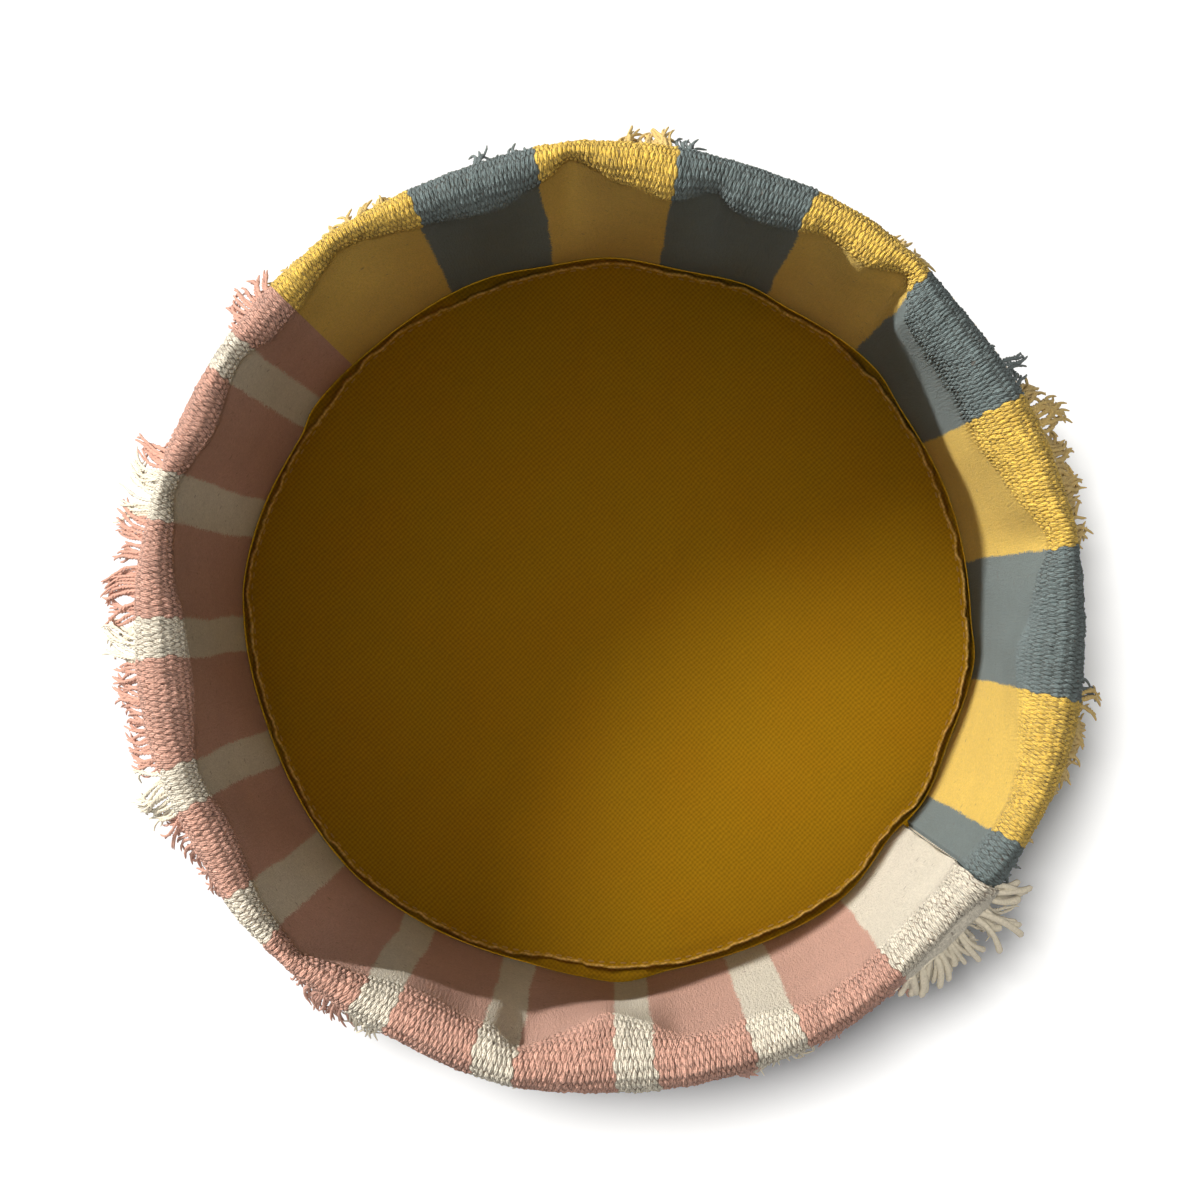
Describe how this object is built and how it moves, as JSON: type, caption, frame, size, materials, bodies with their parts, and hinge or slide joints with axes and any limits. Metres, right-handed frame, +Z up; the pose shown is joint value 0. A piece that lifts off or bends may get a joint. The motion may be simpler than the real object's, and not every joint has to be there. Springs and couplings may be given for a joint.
{
  "type": "storage basket",
  "caption": "Round soft storage basket of woven striped cotton with a rolled cuff, a yarn fringe below the cuff and a lift-out canvas base insert.",
  "frame": {"origin": "centre of the round underside, on the surface that the basket stands on", "axes": "+Z up through the open mouth; +Y is the top of the picture and +X its right"},
  "size_m": [0.4923, 0.478, 0.29],
  "materials": {
    "slate_yarn": "matte weft-faced cotton weave",
    "yellow_yarn": "matte weft-faced cotton weave",
    "pink_yarn": "matte weft-faced cotton weave",
    "cream_yarn": "matte weft-faced cotton weave",
    "mustard_canvas": "matte plain-weave canvas",
    "mustard_cloth": "matte cotton floor cloth",
    "board": "stiff board",
    "thread": "twisted cotton sewing thread"
  },
  "bodies": {
    "basket": {"check_panel": "slate_yarn", "stripe_panel": "pink_yarn", "floor_panel": "mustard_cloth", "check_fringe_01": "yellow_yarn", "check_fringe_02": "slate_yarn", "check_fringe_03": "yellow_yarn", "check_fringe_04": "slate_yarn", "check_fringe_05": "yellow_yarn", "check_fringe_06": "slate_yarn", "check_fringe_07": "yellow_yarn", "check_fringe_08": "slate_yarn", "check_fringe_09": "yellow_yarn", "check_fringe_10": "slate_yarn", "stripe_fringe_01": "cream_yarn", "stripe_fringe_02": "pink_yarn", "stripe_fringe_03": "cream_yarn", "stripe_fringe_04": "pink_yarn", "stripe_fringe_05": "cream_yarn", "stripe_fringe_06": "pink_yarn", "stripe_fringe_07": "cream_yarn", "stripe_fringe_08": "pink_yarn", "stripe_fringe_09": "cream_yarn", "stripe_fringe_10": "pink_yarn", "stripe_fringe_11": "cream_yarn", "stripe_fringe_12": "pink_yarn", "stripe_fringe_13": "cream_yarn", "stripe_fringe_14": "pink_yarn", "stripe_fringe_15": "cream_yarn", "stripe_fringe_16": "pink_yarn", "stripe_fringe_17": "cream_yarn", "stripe_fringe_18": "pink_yarn", "stripe_fringe_19": "cream_yarn", "stripe_fringe_20": "pink_yarn", "left_seam_thread": "thread", "right_seam_thread": "thread", "floor_seam_thread": "thread", "cuff_thread": "thread"},
    "base_insert": {"insert_bottom_cover": "mustard_canvas", "insert_board": "board", "insert_top_cover": "mustard_canvas", "insert_thread": "thread"}
  },
  "joints": [
    {"name": "insert_lift", "type": "slide", "parent": "basket", "child": "base_insert", "axis": [0, 0, 1], "range_m": [0, 0.32]}
  ]
}
